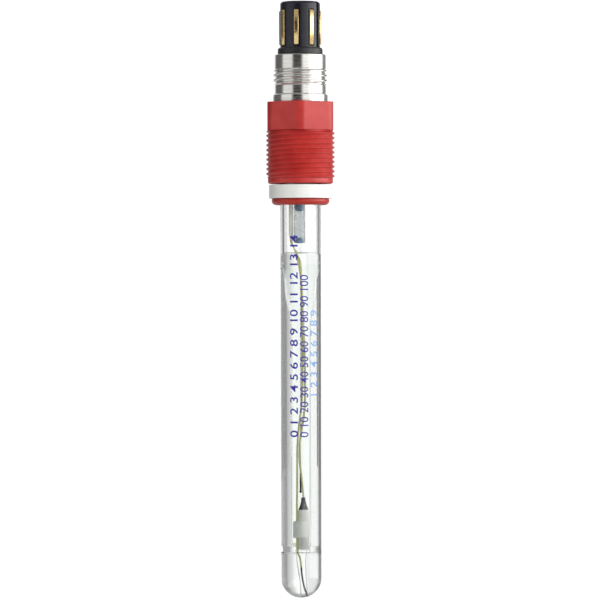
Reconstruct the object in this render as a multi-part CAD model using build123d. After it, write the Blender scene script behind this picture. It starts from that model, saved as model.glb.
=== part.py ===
from build123d import *
from math import cos, radians, sin, sqrt, tan
import os

# A combination pH electrode with a glass shaft, a screw collar and a plug head.
# Sizes are in millimetres and angles in degrees.
# The axis is Z, with the glass tip down. Z = 0 is the underside of the slip ring,
# the face that seats in the process port. The front is -Y and the right is +X.

# Glass shaft, the wetted part below the seat
shaft_diameter = 12.0
shaft_wall = 1.0
insertion_length = 118.3
shaft_length_in_head = 24.5

# Membrane bulb, blown from thinner glass on the end of the shaft
bulb_wall = 0.55
bulb_straight_length = 7.7
bulb_shoulder_radius = 1.2

# Ring seal, the floor of glass that joins the stem to the shaft and carries the bulb
ring_seal_thickness = 1.6
ring_seal_fillet = 0.9

# Stem, the inner glass tube with a flared top that is fused to the shaft's inner wall
stem_diameter = 4.3
stem_wall = 0.3
stem_top_depth = 17.2
stem_seam_height = 2.6
stem_flare_length = 20.6
flare_shoulder_radius = 3.72
flare_shoulder_drop = 6.4
flare_waist_radius = 3.35
flare_waist_drop = 12.2

# Slip ring, a loose plastic thrust washer that turns on the shaft
slip_ring_diameter = 18.65
slip_ring_height = 4.0
slip_ring_clearance = 0.08
slip_ring_chamfer = 0.15

# Sealing ring on the shaft, tucked into a recess under the slip ring
o_ring_section = 2.65
o_ring_squeeze = 0.1
o_ring_tuck = 0.65
o_ring_gap = 0.12

# Screw collar with the process thread, 18 turns per inch with 80 degree flanks
collar_gap = 0.35
collar_thread_diameter = 20.4
collar_thread_depth = 0.67
collar_thread_pitch = 25.4 / 18
collar_thread_crest = 0.15
collar_thread_flank_angle = 40.0
collar_thread_length = 14.25
collar_end_diameter = 19.3
collar_end_length = 1.5
collar_end_chamfer = 0.35
hex_height = 8.4
hex_across_flats = 19.5
hex_corner_diameter = 21.5
hex_chamfer = 0.25
collar_bond_gap = 0.1

# Threaded sleeve, the metal coupling that a cable plug screws on to
sleeve_spigot_diameter = 14.6
sleeve_spigot_length = 7.5
sleeve_spigot_clearance = 0.05
sleeve_end_clearance = 0.2
flange_diameter = 16.3
flange_height = 2.4
flange_chamfer = 0.35
sleeve_land_diameter = 15.2
sleeve_land_length = 2.45
sleeve_thread_diameter = 16.0
sleeve_thread_core_diameter = 14.8
sleeve_thread_pitch = 1.5
sleeve_thread_crest = 0.25
sleeve_thread_base = 1.2
sleeve_thread_length = 5.0
sleeve_top_length = 4.25
sleeve_top_rounding = 0.35
sleeve_bore_diameter = 13.3

# Plug insert, the moulded core of the connector
plug_diameter = 11.8
plug_height = 15.7
plug_top_rounding = 0.9
plug_shank_clearance = 0.05
plug_shank_depth = 12.6
plug_cavity_diameter = 9.0
plug_cavity_depth = 6.0
coding_slot_width = 1.5
coding_slot_depth = 0.9
coding_slot_angle = 56.5

# Contact blades in grooves round the plug
contact_count = 8
first_contact_angle = 34.0
contact_width = 1.3
contact_proud = 0.35
contact_thickness = 0.9
contact_length = 10.6
contact_top_depth = 2.5
contact_ramp = 0.5
contact_edge_rounding = 0.15
groove_side_clearance = 0.18
groove_end_clearance = 0.2

# Seal ring round the foot of the plug
seal_ring_diameter = 13.3
seal_ring_height = 2.05
seal_ring_shoulder = 0.7
seal_ring_foot_rounding = 0.2

# Reference cartridge, a thin tube with a blue plug in each end
cartridge_diameter = 3.4
cartridge_wall = 0.3
cartridge_offset = -0.35
cartridge_bottom_depth = 13.4
cartridge_length = 17.0
cartridge_plug_clearance = 0.04
cartridge_lower_plug_length = 1.6
cartridge_upper_plug_length = 7.6
cartridge_plug_rounding = 0.6
cartridge_lead_diameter = 0.6

# Lead cable down the left side, and the four cores that come out of its end
cable_diameter = 1.35
cable_offset = -2.85
cable_end_depth = 11.2
core_ring_radius = 0.36
sensor_lead_diameter = 0.38
ground_lead_diameter = 0.44
ground_lead_clearance = 0.12
reference_lead_diameter = 0.26
sensor_lead_depths = (-0.28, 0.62)
sensor_lead_shifts = (0.0, 0.1)
sensor_lead_spread = 0.24
reference_lead_depth = 0.17

# Drop from the cable's end to the bead for which the leads' points are drawn
drawn_lead_drop = 77.4

# Temperature sensor in the foot of the stem
sensor_diameter = 2.4
sensor_length = 12.1
sensor_offset = 0.5
sensor_above_seal = 0.7
sensor_dome_height = 0.9
sensor_clearance = 0.02
sensor_collar_length = 5.0
sensor_collar_lift = 3.3
sensor_collar_clearance = 0.05
sensor_collar_rounding = 0.4
ground_lead_angle = 200.0
ground_lead_hole_clearance = 0.04
ferrule_height = 3.2
ferrule_overlap = 0.35
ferrule_foot_radius = 1.15
ferrule_waist_radius = 0.62
ferrule_waist_share = 0.45
ferrule_tip_radius = 0.45

# Coated tip of the inner reference wire
coated_tip_length = 5.6
coated_tip_diameter = 0.42
coated_ball_diameter = 0.62
coated_tip_lift = 1.7
coated_tip_offset = -0.1

# Glass finger in the bulb, with the solution ground wire that leaves through the dome
finger_mouth_radius = 1.6
finger_neck_radius = 1.12
finger_foot_radius = 0.78
finger_wall = 0.22
finger_gap = 0.25
finger_neck_drop = 2.2
finger_foot_offset = 0.55
finger_floor_height = 1.3
ground_wire_diameter = 0.4
ground_wire_proud = 0.05
ground_wire_exit_offset = 1.85

# Reference wire in the outer chamber, and the porous pin that opens the chamber to the sample
reference_wire_diameter = 0.3
reference_wire_offset = 3.75
reference_wire_length = 56.0
reference_wire_top_depth = 23.4
diaphragm_diameter = 1.0
diaphragm_lift = 5.6

# How far a cut reaches past the surface it opens, and a thread's ridge into its core
cut_margin = 1.0
thread_root_overlap = 0.05

# Share of its shorter neighbour run that each bend of a wire takes up
bend_share = 0.45

# Radii and levels that follow from the sizes above
shaft_radius = shaft_diameter / 2
shaft_bore_radius = shaft_radius - shaft_wall
stem_radius = stem_diameter / 2
stem_bore_radius = stem_radius - stem_wall
tip_level = -insertion_length
dome_level = tip_level + shaft_radius
seal_bottom = dome_level + bulb_straight_length
seal_top = seal_bottom + ring_seal_thickness
stem_top = -stem_top_depth
collar_bottom = slip_ring_height + collar_gap
thread_bottom = collar_bottom + collar_end_length
hex_bottom = thread_bottom + collar_thread_length
collar_top = hex_bottom + hex_height
flange_top = collar_top + flange_height
land_top = flange_top + sleeve_land_length
sleeve_thread_top = land_top + sleeve_thread_length
sleeve_top = sleeve_thread_top + sleeve_top_length
shank_bottom = sleeve_top - plug_shank_depth
plug_top = sleeve_top + plug_height
contact_top = plug_top - contact_top_depth
sensor_bottom = seal_bottom + sensor_above_seal
sensor_top = sensor_bottom + sensor_length
ferrule_top = sensor_top + ferrule_height
cable_end = -cable_end_depth
finger_mouth = sensor_bottom - finger_gap
finger_neck = finger_mouth - finger_neck_drop
cartridge_bottom = -cartridge_bottom_depth
cartridge_top = cartridge_bottom + cartridge_length
coated_tip_bottom = ferrule_top + coated_tip_lift
coated_tip_top = coated_tip_bottom + coated_tip_length


# A solid of revolution from (radius, height) points, joined by straight edges
def turned(*points):
    return revolve(Plane.XZ * make_face(Polyline(*points, close=True)), Axis.Z)


# A solid of revolution from an outline of straight and curved edges, drawn as (radius, height)
def turned_outline(*edges):
    return revolve(Plane.XZ * make_face(list(edges)), Axis.Z)


# The arc of an outline between two points, round a centre
def arc_round(centre, start, end):
    middle = Vector(*centre)
    halfway = (Vector(*start) + Vector(*end)) / 2 - middle
    radius = (Vector(*start) - middle).length
    return ThreePointArc(start, middle + halfway.normalized() * radius, end)


# An upright round rod between two levels, with its axis at (x, y)
def rod(radius, bottom, top, x=0.0, y=0.0):
    return Pos(x, y, (bottom + top) / 2) * Cylinder(radius, top - bottom)


# A direction seen from above, counted from the front towards the right
def turned_to(angle):
    return Rot(0, 0, angle - 90)


# A wire of straight runs joined by tangent arcs. Each arc is as large as its two runs allow.
def bent_wire(diameter, points):
    corners = [Vector(*point) for point in points]
    runs = [after - before for before, after in zip(corners, corners[1:])]
    radii = []
    for first, second in zip(runs, runs[1:]):
        half_turn = radians(first.get_angle(second)) / 2
        radii.append(bend_share * min(first.length, second.length) / tan(half_turn))
    path = FilletPolyline(*corners, radius=radii) if radii else Line(*corners)
    section = Plane(origin=corners[0], z_dir=runs[0]) * Circle(diameter / 2)
    return sweep(section, path)


# A ridge carried up a right-hand helix on a core, its foot sunk a little into the core
def helical_ridge(core_radius, crest_radius, base_width, crest_width, pitch, bottom, top):
    foot = core_radius - thread_root_overlap
    widening = (base_width - crest_width) / (crest_radius - core_radius)
    foot_width = base_width + thread_root_overlap * widening
    path = Pos(0, 0, bottom) * Helix(pitch, top - bottom, foot)
    section = Polyline(
        (foot, 0, bottom - foot_width / 2),
        (crest_radius, 0, bottom - crest_width / 2),
        (crest_radius, 0, bottom + crest_width / 2),
        (foot, 0, bottom + foot_width / 2),
        close=True,
    )
    return sweep(make_face(section), path, is_frenet=True)


# A curve that keeps the same distance from another one, on the right of its direction
def parallel_curve(curve, distance):
    shares = [index / 8 for index in range(9)]
    places = [curve @ share + (curve % share).rotate(Axis.Z, -90) * distance for share in shares]
    return Spline(*places, tangents=[curve % 0, curve % 1])


# Outer glass tube, open at the top in the head and standing on the ring seal
def make_shaft_tube():
    wall = turned(
        (shaft_bore_radius, seal_top),
        (shaft_radius, seal_top),
        (shaft_radius, shaft_length_in_head),
        (shaft_bore_radius, shaft_length_in_head),
    )
    return wall - diaphragm_pin()


# A pin that reaches through the back of the shaft wall and past both of its faces
def diaphragm_pin():
    pin = Cylinder(diaphragm_diameter / 2, shaft_wall + 2 * cut_margin)
    return Pos(0, shaft_radius - shaft_wall / 2, seal_top + diaphragm_lift) * Rot(90, 0, 0) * pin


# Porous ceramic pin, flush with both sides of the shaft wall
def make_ceramic_diaphragm():
    wall = turned(
        (shaft_bore_radius, seal_top),
        (shaft_radius, seal_top),
        (shaft_radius, stem_top),
        (shaft_bore_radius, stem_top),
    )
    return wall & diaphragm_pin()


# Inner glass tube: a flare sealed to the shaft's wall, a long shank and the ring seal at its foot
def make_stem_tube():
    flare_bottom = stem_top - stem_flare_length
    seam_bottom = stem_top - stem_seam_height
    outer_flare = Spline(
        (shaft_bore_radius, seam_bottom),
        (flare_shoulder_radius, stem_top - flare_shoulder_drop),
        (flare_waist_radius, stem_top - flare_waist_drop),
        (stem_radius, flare_bottom),
        tangents=[(-1, -1), (0, -1)],
    )
    inner_flare = parallel_curve(outer_flare, stem_wall)
    fillet_start = (stem_radius, seal_top + ring_seal_fillet)
    fillet_end = (stem_radius + ring_seal_fillet, seal_top)
    fillet_centre = (stem_radius + ring_seal_fillet, seal_top + ring_seal_fillet)
    seam = Polyline(
        inner_flare @ 0,
        (shaft_bore_radius - stem_wall, stem_top),
        (shaft_bore_radius, stem_top),
        (shaft_bore_radius, seam_bottom),
    )
    floor = Polyline(
        fillet_end,
        (shaft_radius, seal_top),
        (shaft_radius, seal_bottom),
        (stem_bore_radius, seal_bottom),
        inner_flare @ 1,
    )
    shank = Line((stem_radius, flare_bottom), fillet_start)
    corner = arc_round(fillet_centre, fillet_start, fillet_end)
    return turned_outline(outer_flare, shank, corner, floor, inner_flare, seam)


# Points of the solution ground wire, from the lead in the finger to just outside the dome
def ground_wire_points():
    exit_drop = sqrt((shaft_radius + ground_wire_proud) ** 2 - ground_wire_exit_offset**2)
    return [
        (0.0, 0.0, dome_level + 3.0),
        (0.12, 0.0, dome_level + 0.8),
        (0.5, 0.0, dome_level - 1.8),
        (ground_wire_exit_offset, 0.0, dome_level - exit_drop),
    ]


# Bare wire that carries the solution's ground through the glass
def make_solution_ground_wire():
    return bent_wire(ground_wire_diameter, ground_wire_points())


# Hemispherical bulb of membrane glass, pierced by the ground wire
def make_membrane_bulb(ground_wire):
    inner = shaft_radius - bulb_wall
    shoulder = bulb_shoulder_radius
    shoulder_start = (inner, seal_bottom - shoulder)
    shoulder_end = (inner - shoulder, seal_bottom)
    outline = [
        Line((0, tip_level), (0, dome_level - inner)),
        arc_round((0, dome_level), (0, dome_level - inner), (inner, dome_level)),
        Line((inner, dome_level), shoulder_start),
        arc_round((inner - shoulder, seal_bottom - shoulder), shoulder_start, shoulder_end),
        Polyline(shoulder_end, (shaft_radius, seal_bottom), (shaft_radius, dome_level)),
        arc_round((0, dome_level), (shaft_radius, dome_level), (0, tip_level)),
    ]
    return turned_outline(*outline) - ground_wire


# Tapered glass finger that stands on the inside of the dome and opens under the sensor
def make_finger_tube(ground_wire):
    floor = dome_level - (shaft_radius - bulb_wall) + finger_floor_height
    foot = tip_level + bulb_wall / 2
    levels = [
        (finger_mouth, 0.0, finger_mouth_radius),
        (finger_neck, 0.0, finger_neck_radius),
        (floor, finger_foot_offset, finger_foot_radius),
    ]
    outside = loft([Pos(x, 0, level) * Circle(radius) for level, x, radius in levels])
    inside = loft([Pos(x, 0, level) * Circle(radius - finger_wall) for level, x, radius in levels])
    foot_block = rod(finger_foot_radius, foot, floor, finger_foot_offset)
    dome_space = Pos(0, 0, dome_level) * Sphere(shaft_radius - bulb_wall)
    return outside - inside + (foot_block & dome_space) - ground_wire


# White thrust washer, with a recess underneath for the sealing ring
def make_slip_ring():
    bore = shaft_radius + slip_ring_clearance
    outer = slip_ring_diameter / 2
    recess = shaft_radius + o_ring_section - o_ring_squeeze + o_ring_gap
    roof = o_ring_tuck + o_ring_gap
    edge = slip_ring_chamfer
    return turned(
        (recess, 0),
        (outer - edge, 0),
        (outer, edge),
        (outer, slip_ring_height - edge),
        (outer - edge, slip_ring_height),
        (bore, slip_ring_height),
        (bore, roof),
        (recess, roof),
    )


# Rubber ring stretched on the shaft, so that its inside is pressed flat
def make_shaft_o_ring():
    radius = o_ring_section / 2
    centre = shaft_radius + radius - o_ring_squeeze
    ring = Pos(0, 0, o_ring_tuck - radius) * Torus(centre, radius)
    return ring - rod(shaft_radius, -o_ring_section, o_ring_section)


# Moulded collar: hexagon with turned corners, process thread and plain end
def make_screw_collar():
    crest = collar_thread_diameter / 2
    core = crest - collar_thread_depth
    end = collar_end_diameter / 2
    bore = shaft_radius + collar_bond_gap
    socket = sleeve_spigot_diameter / 2 + sleeve_spigot_clearance
    socket_floor = collar_top - sleeve_spigot_length - sleeve_end_clearance
    chamfer = collar_end_chamfer
    hexagon = Pos(0, 0, hex_bottom) * extrude(
        RegularPolygon(hex_across_flats / 2, 6, major_radius=False, rotation=30), hex_height
    )
    corner = hex_corner_diameter / 2
    turned_corners = turned(
        (0, hex_bottom),
        (corner, hex_bottom),
        (corner, collar_top - hex_chamfer),
        (corner - hex_chamfer, collar_top),
        (0, collar_top),
    )
    body = turned(
        (0, collar_bottom),
        (end - chamfer, collar_bottom),
        (end, collar_bottom + chamfer),
        (end, thread_bottom),
        (core, thread_bottom),
        (core, hex_bottom),
        (0, hex_bottom),
    )
    base_width = collar_thread_crest + 2 * collar_thread_depth * tan(radians(collar_thread_flank_angle))
    ridge = helical_ridge(
        core,
        crest,
        base_width,
        collar_thread_crest,
        collar_thread_pitch,
        thread_bottom - collar_thread_pitch,
        hex_bottom + collar_thread_pitch,
    )
    reach = collar_thread_depth + cut_margin
    thread_space = turned(
        (bore, thread_bottom),
        (core, thread_bottom),
        (core + reach, thread_bottom + reach),
        (core + reach, hex_bottom),
        (bore, hex_bottom),
    )
    passage = rod(bore, collar_bottom, collar_top)
    pocket = rod(socket, socket_floor, collar_top)
    return body + (ridge & thread_space) + (hexagon & turned_corners) - passage - pocket


# Metal coupling sleeve with its spigot in the collar
def make_threaded_sleeve():
    crest = sleeve_thread_diameter / 2
    core = sleeve_thread_core_diameter / 2
    land = sleeve_land_diameter / 2
    flange = flange_diameter / 2
    spigot = sleeve_spigot_diameter / 2
    bore = sleeve_bore_diameter / 2
    glass_bore = shaft_radius + collar_bond_gap
    edge = flange_chamfer
    body = turned(
        (glass_bore, collar_top - sleeve_spigot_length),
        (spigot, collar_top - sleeve_spigot_length),
        (spigot, collar_top),
        (flange, collar_top),
        (flange, flange_top - edge),
        (flange - edge, flange_top),
        (land, flange_top),
        (land, land_top),
        (core, land_top),
        (core, sleeve_thread_top),
        (land, sleeve_thread_top),
        (land, sleeve_top - sleeve_top_rounding),
        (land - sleeve_top_rounding, sleeve_top),
        (bore, sleeve_top),
        (bore, shank_bottom),
        (glass_bore, shank_bottom),
    )
    ridge = helical_ridge(
        core,
        crest,
        sleeve_thread_base,
        sleeve_thread_crest,
        sleeve_thread_pitch,
        land_top - sleeve_thread_pitch,
        sleeve_thread_top + sleeve_thread_pitch,
    )
    reach = crest - core + cut_margin
    thread_space = turned(
        (bore, land_top),
        (core, land_top),
        (core + reach, land_top + reach),
        (core + reach, sleeve_thread_top - reach),
        (core, sleeve_thread_top),
        (bore, sleeve_thread_top),
    )
    return body + (ridge & thread_space)


# One groove or blade position, from the plug's surface to a depth below it
def contact_block(width, depth, proud, bottom, top):
    outer = plug_diameter / 2 + proud
    length = depth + proud
    block = Box(length, width, top - bottom)
    return Pos(outer - length / 2, 0, (bottom + top) / 2) * block


# Moulded plug core, with a groove for each contact and a coding slot down one side
def make_plug_insert():
    radius = plug_diameter / 2
    shank = sleeve_bore_diameter / 2 - plug_shank_clearance
    cavity = plug_cavity_diameter / 2
    rounding = plug_top_rounding
    cavity_roof = shank_bottom + plug_cavity_depth
    edge_start = (radius, plug_top - rounding)
    edge_end = (radius - rounding, plug_top)
    side = Polyline(
        (cavity, shank_bottom),
        (shank, shank_bottom),
        (shank, sleeve_top),
        (radius, sleeve_top),
        edge_start,
    )
    edge = arc_round((radius - rounding, plug_top - rounding), edge_start, edge_end)
    inside = Polyline(
        edge_end,
        (0, plug_top),
        (0, cavity_roof),
        (cavity, cavity_roof),
        (cavity, shank_bottom),
    )
    plug = turned_outline(side, edge, inside)
    groove = contact_block(
        contact_width + 2 * groove_side_clearance,
        contact_thickness - contact_proud,
        cut_margin,
        contact_top - contact_length - groove_end_clearance,
        contact_top + groove_end_clearance,
    )
    for index in range(contact_count):
        plug -= turned_to(first_contact_angle + index * 360 / contact_count) * groove
    slot_bottom = sleeve_top + seal_ring_height
    slot_top = plug_top + cut_margin
    slot = contact_block(coding_slot_width, coding_slot_depth, cut_margin, slot_bottom, slot_top)
    return plug - turned_to(coding_slot_angle) * slot


# Gilt contact blade: a rail with ramped ends and eased edges, seated on the floor of its groove
def make_contact_blade(index):
    floor = plug_diameter / 2 - contact_thickness + contact_proud
    face = plug_diameter / 2 + contact_proud
    bottom = contact_top - contact_length
    side = Polyline(
        (floor, bottom),
        (face - contact_ramp, bottom),
        (face, bottom + contact_ramp),
        (face, contact_top - contact_ramp),
        (face - contact_ramp, contact_top),
        (floor, contact_top),
        close=True,
    )
    blade = extrude(Plane.XZ * make_face(side), contact_width / 2, both=True)
    blade = fillet(blade.edges().filter_by(Axis.Z).sort_by(Axis.X)[-2:], contact_edge_rounding)
    return turned_to(first_contact_angle + index * 360 / contact_count) * blade


# Rubber ring between the foot of the plug and the top of the sleeve
def make_plug_seal_ring():
    inner = plug_diameter / 2
    outer = seal_ring_diameter / 2
    shoulder = seal_ring_shoulder
    foot_edge = seal_ring_foot_rounding
    top = sleeve_top + seal_ring_height
    foot = Polyline((inner, top), (inner, sleeve_top), (outer - foot_edge, sleeve_top))
    foot_corner = arc_round(
        (outer - foot_edge, sleeve_top + foot_edge),
        (outer - foot_edge, sleeve_top),
        (outer, sleeve_top + foot_edge),
    )
    side = Line((outer, sleeve_top + foot_edge), (outer, top - shoulder))
    slope = arc_round((outer - shoulder, top - shoulder), (outer, top - shoulder), (outer - shoulder, top))
    roof = Line((outer - shoulder, top), (inner, top))
    return turned_outline(foot, foot_corner, side, slope, roof)


# Cast resin that closes the top of the glass and fills the foot of the plug
def make_head_potting():
    lower = shaft_radius + collar_bond_gap
    upper = plug_cavity_diameter / 2
    return turned(
        (0, shaft_length_in_head),
        (lower, shaft_length_in_head),
        (lower, shank_bottom),
        (upper, shank_bottom),
        (upper, shank_bottom + plug_cavity_depth),
        (0, shank_bottom + plug_cavity_depth),
    )


# Clear tube of the reference cartridge
def make_cartridge_tube():
    outer = rod(cartridge_diameter / 2, cartridge_bottom, cartridge_top, cartridge_offset)
    bore = cartridge_diameter / 2 - cartridge_wall
    return outer - rod(bore, cartridge_bottom, cartridge_top, cartridge_offset)


# A blue plug between two levels of the cartridge, with a rounded inner end
def cartridge_plug(outer_level, inner_level):
    radius = cartridge_diameter / 2 - cartridge_wall - cartridge_plug_clearance
    low = min(outer_level, inner_level)
    high = max(outer_level, inner_level)
    plug = rod(radius, low, high, cartridge_offset)
    rounded = [edge for edge in plug.edges() if abs(edge.center().Z - inner_level) < 0.001]
    return fillet(rounded, cartridge_plug_rounding)


# Wire from the cartridge up to the head
def make_cartridge_lead():
    return rod(cartridge_lead_diameter / 2, cartridge_top, shaft_length_in_head, cartridge_offset)


# Cable that brings the four cores down beside the cartridge
def make_lead_cable():
    return rod(cable_diameter / 2, cable_end, shaft_length_in_head, cable_offset)


# Place of one of the four cores on the cable's end face
def core_start(index):
    angle = radians(45 + 90 * index)
    return (cable_offset + core_ring_radius * cos(angle), core_ring_radius * sin(angle), cable_end)


# Level of a lead's point, given as a drop below the cable's end on the leads as drawn
def lead_level(drop):
    return cable_end + (ferrule_top - cable_end) * drop / drawn_lead_drop


# Yellow lead of the solution ground, past the sensor and into the finger
def make_ground_lead():
    hole_x, hole_y = ground_lead_hole()
    start = core_start(3)
    points = [
        start,
        (start[0] + 0.05, -0.6, lead_level(2.2)),
        (-0.5, -0.9, lead_level(7.4)),
        (0.3, -0.85, lead_level(14)),
        (0.38, -0.85, lead_level(31)),
        (0.38, -0.85, lead_level(48)),
        (-0.86, -0.8, lead_level(60)),
        (-0.9, -0.75, lead_level(76)),
        (hole_x, hole_y, sensor_top + 1.0),
        (hole_x, hole_y, sensor_bottom - 0.1),
        (-0.2, -0.3, finger_neck - 0.2),
        (0.0, 0.0, dome_level + 3.0),
    ]
    return bent_wire(ground_lead_diameter, points)


# Where the ground lead passes the sensor
def ground_lead_hole():
    reach = sensor_diameter / 2 + ground_lead_diameter / 2 + ground_lead_clearance
    angle = radians(ground_lead_angle)
    return (sensor_offset + reach * cos(angle), reach * sin(angle))


# The two leads of the temperature sensor, one in front of the other
def make_sensor_lead(index):
    depth = sensor_lead_depths[index]
    shift = sensor_lead_shifts[index]
    foot = (index - 0.5) * 2 * sensor_lead_spread
    start = core_start(2 - index)
    points = [
        start,
        (start[0] + 0.1, depth, lead_level(2.2)),
        (-0.2 + shift, depth, lead_level(6.4)),
        (0.1 + shift, depth, lead_level(13)),
        (0.5 + shift, depth, lead_level(27)),
        (0.88 + shift, depth, lead_level(38)),
        (0.88 + shift, depth, lead_level(51)),
        (-0.24 + shift, depth, lead_level(60)),
        (-0.46 + shift, depth, lead_level(66)),
        (0.3, depth, lead_level(73.5)),
        (sensor_offset, foot, ferrule_top),
    ]
    return bent_wire(sensor_lead_diameter, points)


# Dark bead that binds the sensor's leads to its top
def make_lead_ferrule(sensor_body):
    foot = (ferrule_foot_radius, sensor_top - ferrule_overlap)
    tip = (ferrule_tip_radius, ferrule_top)
    waist = (ferrule_waist_radius, sensor_top + (ferrule_top - sensor_top) * ferrule_waist_share)
    inside = Polyline(tip, (0, ferrule_top), (0, sensor_top - ferrule_overlap), foot)
    bead = turned_outline(inside, ThreePointArc(foot, waist, tip))
    return Pos(sensor_offset, 0, 0) * bead - sensor_body


# White ceramic rod of the temperature sensor, with a domed top
def make_sensor_body():
    radius = sensor_diameter / 2
    shoulder = sensor_top - sensor_dome_height
    crown = radius - sensor_dome_height
    side = Polyline(
        (crown, sensor_top),
        (0, sensor_top),
        (0, sensor_bottom),
        (radius, sensor_bottom),
        (radius, shoulder),
    )
    dome = arc_round((crown, shoulder), (radius, shoulder), (crown, sensor_top))
    return Pos(sensor_offset, 0, 0) * turned_outline(side, dome)


# White sleeve that centres the sensor in the stem, with a hole for the ground lead
def make_sensor_collar():
    radius = stem_bore_radius - sensor_collar_clearance
    bottom = sensor_bottom + sensor_collar_lift
    top = bottom + sensor_collar_length
    sleeve = rod(radius, bottom, top)
    sleeve = fillet(sleeve.edges().filter_by(GeomType.CIRCLE), sensor_collar_rounding)
    hole_x, hole_y = ground_lead_hole()
    lead_hole = rod(ground_lead_diameter / 2 + ground_lead_hole_clearance, bottom, top, hole_x, hole_y)
    sensor_hole = rod(sensor_diameter / 2 + sensor_clearance, bottom, top, sensor_offset)
    return sleeve - sensor_hole - lead_hole


# Silver wire that brings the inner reference down the stem
def make_inner_reference_wire():
    start = core_start(0)
    points = [
        start,
        (start[0] + 0.1, start[1], lead_level(2.2)),
        (-0.5, reference_lead_depth, lead_level(6.4)),
        (0.05, reference_lead_depth, lead_level(13)),
        (0.05, reference_lead_depth, lead_level(30)),
        (0.0, reference_lead_depth, lead_level(50)),
        (coated_tip_offset, reference_lead_depth, lead_level(60)),
        (coated_tip_offset, reference_lead_depth, coated_tip_top),
    ]
    return bent_wire(reference_lead_diameter, points)


# Black silver chloride coat on the wire's end, with a bead
def make_coated_tip():
    place = (coated_tip_offset, reference_lead_depth)
    stick = rod(coated_tip_diameter / 2, coated_tip_bottom, coated_tip_top, *place)
    bead = Pos(*place, coated_tip_bottom) * Sphere(coated_ball_diameter / 2)
    return stick + bead


# Wire of the outer reference, hung from the flare into the outer chamber
def make_reference_wire(stem_tube):
    top = -reference_wire_top_depth
    wire = rod(reference_wire_diameter / 2, top - reference_wire_length, top, reference_wire_offset)
    return wire - stem_tube


def main():
    ground_wire = make_solution_ground_wire()
    stem_tube = make_stem_tube()
    sensor_body = make_sensor_body()
    upper_plug_end = cartridge_top - cartridge_upper_plug_length
    lower_plug_end = cartridge_bottom + cartridge_lower_plug_length
    pieces = {
        "shaft_tube": make_shaft_tube(),
        "stem_tube": stem_tube,
        "membrane_bulb": make_membrane_bulb(ground_wire),
        "finger_tube": make_finger_tube(ground_wire),
        "ceramic_diaphragm": make_ceramic_diaphragm(),
        "solution_ground_wire": ground_wire,
        "slip_ring": make_slip_ring(),
        "shaft_o_ring": make_shaft_o_ring(),
        "screw_collar": make_screw_collar(),
        "threaded_sleeve": make_threaded_sleeve(),
        "plug_insert": make_plug_insert(),
        "plug_seal_ring": make_plug_seal_ring(),
        "head_potting": make_head_potting(),
        "cartridge_tube": make_cartridge_tube(),
        "cartridge_plug_upper": cartridge_plug(cartridge_top, upper_plug_end),
        "cartridge_plug_lower": cartridge_plug(cartridge_bottom, lower_plug_end),
        "cartridge_lead": make_cartridge_lead(),
        "lead_cable": make_lead_cable(),
        "ground_lead": make_ground_lead(),
        "sensor_lead_1": make_sensor_lead(0),
        "sensor_lead_2": make_sensor_lead(1),
        "lead_ferrule": make_lead_ferrule(sensor_body),
        "sensor_body": sensor_body,
        "sensor_collar": make_sensor_collar(),
        "inner_reference_wire": make_inner_reference_wire(),
        "silver_chloride_tip": make_coated_tip(),
        "reference_wire": make_reference_wire(stem_tube),
    }
    for index in range(contact_count):
        pieces[f"contact_blade_{index + 1}"] = make_contact_blade(index)
    os.makedirs("parts", exist_ok=True)
    for name, piece in pieces.items():
        export_step(piece, f"parts/{name}.step")


main()
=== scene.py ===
from math import pi, radians

import bmesh
import bpy
import numpy as np
from mathutils import Matrix, Vector


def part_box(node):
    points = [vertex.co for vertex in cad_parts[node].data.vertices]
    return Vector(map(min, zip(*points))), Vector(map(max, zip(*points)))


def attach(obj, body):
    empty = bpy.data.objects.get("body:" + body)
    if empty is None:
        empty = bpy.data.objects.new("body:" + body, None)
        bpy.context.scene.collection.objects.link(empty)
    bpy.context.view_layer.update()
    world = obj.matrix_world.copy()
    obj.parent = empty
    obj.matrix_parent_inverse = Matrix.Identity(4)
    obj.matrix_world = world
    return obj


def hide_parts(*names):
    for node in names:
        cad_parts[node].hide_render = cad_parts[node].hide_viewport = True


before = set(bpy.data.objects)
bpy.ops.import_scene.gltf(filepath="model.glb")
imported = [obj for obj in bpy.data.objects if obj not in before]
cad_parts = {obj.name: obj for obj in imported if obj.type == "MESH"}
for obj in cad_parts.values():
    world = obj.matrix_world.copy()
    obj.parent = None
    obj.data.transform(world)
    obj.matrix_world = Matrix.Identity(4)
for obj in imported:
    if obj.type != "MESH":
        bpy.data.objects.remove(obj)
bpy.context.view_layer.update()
mm = 0.001
print("frame loaded:", len(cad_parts), "nodes")


# lowest and highest level of a node, in mm
def levels(node):
    low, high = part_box(node)
    return low[2] / mm, high[2] / mm


# shapes, worked out in mm as whole arrays

# a line through (r, z) corners; a third value eases the corner with an arc tangent to both runs
def easedLine(corners, steps=5):
    places = [np.array(corner[:2], float) for corner in corners]
    line = []
    for index, corner in enumerate(corners):
        here = places[index]
        if len(corner) < 3:
            line.append(here[None])
            continue
        before = places[index - 1] - here
        after = places[index + 1] - here
        before /= np.linalg.norm(before)
        after /= np.linalg.norm(after)
        half = np.arccos(np.clip(before @ after, -1, 1)) / 2
        middle = (before + after) / np.linalg.norm(before + after)
        centre = here + middle * corner[2] / np.sin(half)
        first = here + before * corner[2] / np.tan(half) - centre
        last = here + after * corner[2] / np.tan(half) - centre
        start = np.arctan2(first[1], first[0])
        sweep = (np.arctan2(last[1], last[0]) - start + pi) % (2 * pi) - pi
        turn = start + sweep * np.linspace(0, 1, steps + 1)
        line.append(centre + corner[2] * np.stack([np.cos(turn), np.sin(turn)], 1))
    return np.concatenate(line)


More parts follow.
